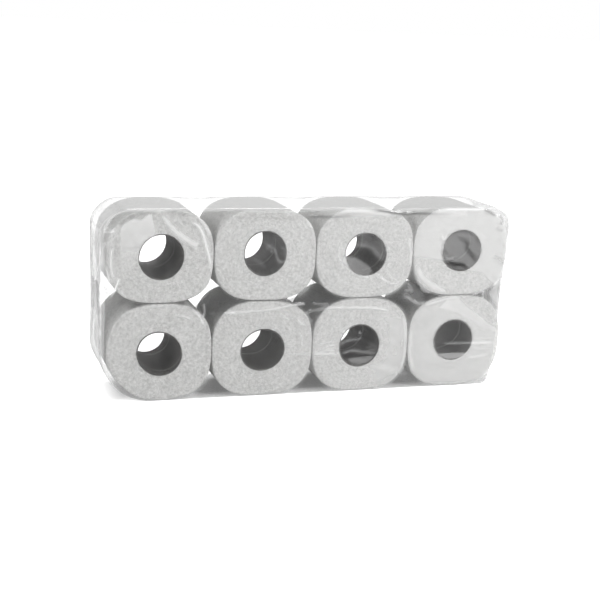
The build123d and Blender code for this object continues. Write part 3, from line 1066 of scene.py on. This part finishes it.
def make_film(rolls):
    """The film: stretched over the ends of the rolls, sunk a little where nothing backs it, and creased."""
    shape = FilmShape()
    base, normals = shape.points, shape.normals()
    x, y, z = base.T
    gap = np.clip(roll_distance(x, z, rolls), 0, 14 * MM)
    sunk = 2.4 * MM * (1 - np.exp(-((gap / (7 * MM)) ** 2))) + 0.9 * MM * bore_depth(x, z, rolls)
    front, back, top, base_side, left, right = [Marks(*uv) for uv in 2 * [(x, z)] + 2 * [(x, y)] + 2 * [(y, z)]]
    front_marks(front, rolls)
    front_scatter(front)
    gap_marks(front, rolls, gap)
    back_marks(back)
    top_marks(top)
    base_marks(base_side)
    end_marks(left, 61)
    # A strip on the left end near the back, made less milky and shaded: painted shade over the side of the upper left
    # roll.
    left.patch([(12, 112), (42, 115), (42, 178), (22, 180)], haze=-0.12, soft=5, shade=0.30)
    end_marks(right, 62)
    # Over the paper the film gets more milkiness, growing towards the right, and less over the cores and gaps: painted
    # light on the right-hand rolls and painted shade in the holes.
    backed = (1 - smooth(10 * bore_depth(x, z, rolls))) * (1 - smooth(gap / (2 * MM)))
    front.haze *= 0.75 + 0.65 * backed
    front.haze += backed * (0.02 + 0.20 * smooth(x / (2 * HALF_WIDTH) + 0.5))
    front.lift -= sunk
    back.lift -= sunk
    seats = np.abs((x / (54 * MM)) % 2 - 1)  # 0 over the middle of a roll, 1 between two
    top.lift -= 0.5 * MM * smooth(seats) ** 3
    base_side.lift = np.clip(base_side.lift * 0, 0, 0)
    lift, haze, shade = np.zeros((3, len(base)))
    sides = ((front, (0, -1, 0)), (back, (0, 1, 0)), (top, (0, 0, 1)))
    sides += ((base_side, (0, 0, -1)), (left, (-1, 0, 0)), (right, (1, 0, 0)))
    for marks, direction in sides:
        share = smooth((normals @ np.array(direction) - 0.2) / 0.6)
        lift += share * marks.lift
        haze += share * marks.haze
        shade += share * marks.shade
    lift += 0.22 * MM * layered(Noise(41), x / 0.03, z / 0.012, y / 0.03) * (normals[:, 2] > -0.3)
    points = base + normals * lift[:, None]
    points[:, 2] = np.maximum(points[:, 2], 0.1 * MM)
    made = make_film_mesh(
        "film", shape, points, haze=np.clip(haze, 0, 0.8), shade=np.clip(shade, 0, 0.85)
    )
    place(made, "clear_film", "film_wrap")
    return shape


def make_sheet(name, corners, counts, outside, rise, seed, haze, wrinkle=0.8, fray=2.0):
    """One folded layer of film over an end or the back.

    corners are four flat (u, v) points in millimetres: the two ends of its attached edge, then of its free
    edge. outside turns flat points and a height above the film into (x, y, z). rise is the height of the
    free edge.
    """
    a, b, c, d = [np.array(corner, float) * MM for corner in corners]
    across, down = counts
    s = np.linspace(0, 1, across + 1)[None, :, None]
    t = np.linspace(0, 1, down + 1)[:, None, None]
    noise = Noise(seed)
    ragged = fray * MM * noise(8 * s[..., 0], 0.5) + 0.5 * fray * MM * noise(30 * s[..., 0], 3.5)
    flat = (1 - t) * (a + (b - a) * s) + t * (d + (c - d) * s)
    pull = (d - a) / np.linalg.norm(d - a)
    flat = flat + t * ragged[..., None] * pull
    u, v = flat[..., 0], flat[..., 1]
    fan = s[..., 0] * across * 0.16 + 0.6 * noise(4 * s[..., 0], 2 * t[..., 0])
    folds = noise(fan, 0.7 * t[..., 0] + 0.3)
    fine = noise(2.7 * fan + 9, 2 * t[..., 0])
    edge = smooth(t[..., 0] * 6)
    height = (0.5 + rise * t[..., 0] + wrinkle * (np.abs(folds) * 1.6 + 0.5 * np.abs(fine)) * edge) * MM
    # Fold crests get more milkiness, partly a painted highlight, and shade in their clear part, painted shade.
    crest = smooth(1 - np.abs(folds) * 3.4) * edge + 0.5 * smooth(1 - np.abs(fine) * 3) * edge
    hem = smooth((t[..., 0] - 0.96) / 0.03) * 0.5
    milk = haze * (0.55 + 0.9 * crest + hem)
    points = outside(u, v, height)
    made = make_mesh(
        name,
        points.reshape(-1, 3),
        grid_faces(*u.shape),
        FILM,
        haze=np.clip(milk, 0, 0.7),
        shade=0.10 * crest,
    )
    place(made, "clear_film")
    return made


def end_surface(shape, side):
    """Turns flat (y, z) points and a height into points just outside one end of the film."""
    loop = shape.loop[shape.loop[:, 0] * side > 0.5 * HALF_WIDTH]
    order = np.argsort(loop[:, 1])
    heights, reach = loop[order, 1], loop[order, 0]

    def outside(u, v, height):
        x = np.interp(v, heights, reach) + side * height
        return np.stack([x, u, v], -1)

    return outside


def back_surface(u, v, height):
    return np.stack([u, np.full_like(u, DEPTH) + height, v], -1)


def make_folds(shape):
    """The gift-wrap folds at both ends, and the lap seam along the back."""
    edge = DEPTH / MM - 3.0
    tall = HEIGHT / MM
    for side, name in ((-1, "left"), (1, "right")):
        over = end_surface(shape, side)
        seed = 70 + 10 * side
        front_tuck = [(-edge, tall - 34), (-edge, 30), (-2, 74), (-4, tall - 80)]
        back_tuck = [(edge, 30), (edge, tall - 34), (3, tall - 76), (2, 78)]
        upper_flap = [(-edge, tall - 22), (edge, tall - 22), (20, 86), (-24, 90)]
        lower_flap = [(edge, 24), (-edge, 24), (-26, 122), (22, 116)]
        make_sheet(f"{name}_front_tuck", front_tuck, (90, 44), over, 0.4, seed + 1, 0.16)
        make_sheet(f"{name}_back_tuck", back_tuck, (90, 44), over, 0.4, seed + 2, 0.16)
        make_sheet(f"{name}_upper_flap", upper_flap, (84, 70), over, 1.0, seed + 3, 0.18)
        make_sheet(f"{name}_lower_flap", lower_flap, (84, 70), over, 1.6, seed + 4, 0.20)
    span = HALF_WIDTH / MM - 14
    seam = SEAM_Z / MM
    strip = [(-span, seam + 14), (span, seam + 14), (span, seam - 12), (-span, seam - 12)]
    make_sheet("back_seam", strip, (360, 14), back_surface, 0.6, 91, 0.16, wrinkle=0.35, fray=0.8)


# ---------------------------------------------------------------- floor, light and camera


def make_floor():
    """A white floor that still takes the pack's soft shadow; under the pack itself its glow is masked down, a painted
    shadow.
    """
    n = Nodes("floor_white")
    path = n.add("LightPath")
    seen = n.math("MAXIMUM", path.outputs["Is Camera Ray"], path.outputs["Is Glossy Ray"])
    seen = n.math("MAXIMUM", seen, path.outputs["Is Transmission Ray"])
    spot = n.add("SeparateXYZ", {"Vector": n.add("NewGeometry").outputs["Position"]})
    # Under the pack's footprint the glow is masked down: a painted contact shadow.
    past_end = n.math("SUBTRACT", n.math("ABSOLUTE", spot.outputs["X"]), HALF_WIDTH - FLOOR_SOFT)
    past_front = n.math("SUBTRACT", n.math("ABSOLUTE", spot.outputs["Y"]), DEPTH - FLOOR_SOFT)
    outside = n.span(n.math("MAXIMUM", past_end, past_front), -FLOOR_SOFT, FLOOR_SOFT, FLOOR_GLOW_IN_PAINTED_SHADOW, 1)
    paint = n.add("BsdfDiffuse", Color=(0.8, 0.8, 0.8, 1))
    glow = n.add(
        "Emission",
        {"Strength": n.math("MULTIPLY", n.math("MULTIPLY", seen, outside), FLOOR_GLOW)},
        Color=(1, 1, 1, 1),
    )
    shader = n.add("AddShader", {0: paint.outputs[0], 1: glow.outputs[0]})
    bpy.ops.mesh.primitive_plane_add(size=400)
    floor = bpy.context.object
    floor.name = "floor"
    floor.data.materials.append(n.finish(shader.outputs[0]))


def make_world():
    """Plain light all round, a little less from behind the pack, and seen as white."""
    world = bpy.data.worlds.new("studio")
    bpy.context.scene.world = world
    world.use_nodes = True
    tree = world.node_tree
    tree.nodes.clear()

    def link(kind, sources=(), **values):
        node = tree.nodes.new("ShaderNode" + kind)
        for key, value in values.items():
            setattr(node, key, value)
        for index, source in enumerate(sources):
            tree.links.new(source, node.inputs[index])
        return node

    path = link("LightPath")
    seen = link("Math", [path.outputs["Is Camera Ray"], path.outputs["Is Glossy Ray"]], operation="MAXIMUM")
    seen = link("Math", [seen.outputs[0], path.outputs["Is Transmission Ray"]], operation="MAXIMUM")
    way = link("SeparateXYZ", [link("TexCoord").outputs["Generated"]])
    side = link("MapRange", [way.outputs["Y"]])
    side.inputs["From Min"].default_value = -1.0
    side.inputs["To Min"].default_value = WORLD_FRONT
    side.inputs["To Max"].default_value = WORLD_BACK
    strength = link("MapRange", [seen.outputs[0]])
    tree.links.new(side.outputs[0], strength.inputs["To Min"])
    strength.inputs["To Max"].default_value = 1.0
    light = link("Background")
    light.inputs["Color"].default_value = (1, 1, 1, 1)
    tree.links.new(strength.outputs[0], light.inputs["Strength"])
    link("OutputWorld", [light.outputs[0]])


# The floor's glow is cut down under the pack, a painted shadow with a soft edge.
FLOOR_SOFT = 0.012  # half the width of the soft edge between the lit floor and the floor under the pack
FLOOR_GLOW = 0.75
FLOOR_GLOW_IN_PAINTED_SHADOW = 0.22  # share of that glow left under the pack
WORLD_FRONT, WORLD_BACK = 0.74, 0.58
# Lamps: where each is, in metres, its size and its power.
LAMPS = (
    ("key", (1.15, -1.45, 1.25), 0.7, 30),
    ("fill", (-1.6, -0.8, 0.9), 0.5, 10),
    ("rear", (0.3, 1.5, 1.3), 0.8, 14),
)


def make_lamps():
    middle = (CAD_BOX[0] + CAD_BOX[1]) / 2
    for name, spot, size, power in LAMPS:
        lamp = bpy.data.lights.new(name, "AREA")
        lamp.size, lamp.energy = size, power
        made = bpy.data.objects.new(name, lamp)
        bpy.context.scene.collection.objects.link(made)
        made.location = spot
        made.rotation_mode = "QUATERNION"
        made.rotation_quaternion = (middle - made.location).to_track_quat("-Z", "Y")


CAMERA_SPOT = (-0.3871, -1.1954, 0.3764)
CAMERA_YAW = 17.88  # degrees to the right of straight ahead
CAMERA_PITCH = -12.81
CAMERA_ROLL = 2.42
LENS = 71.84


def make_camera():
    camera = bpy.data.cameras.new("camera")
    camera.lens, camera.sensor_width = LENS, 36.0
    made = bpy.data.objects.new("camera", camera)
    bpy.context.scene.collection.objects.link(made)
    turn = Matrix.Rotation(math.radians(-CAMERA_YAW), 4, "Z")
    tilt = Matrix.Rotation(math.radians(90 + CAMERA_PITCH), 4, "X")
    roll = Matrix.Rotation(math.radians(CAMERA_ROLL), 4, "Z")
    made.matrix_world = Matrix.Translation(CAMERA_SPOT) @ turn @ tilt @ roll
    bpy.context.scene.camera = made


rolls = [Roll(row, column) for row in ROWS for column in range(1, COLUMNS + 1)]
for roll in rolls:
    make_roll(roll)
    make_core(roll)
make_folds(make_film(rolls))
make_floor()
make_world()
make_lamps()
make_camera()
bpy.context.scene.view_settings.view_transform = "Standard"
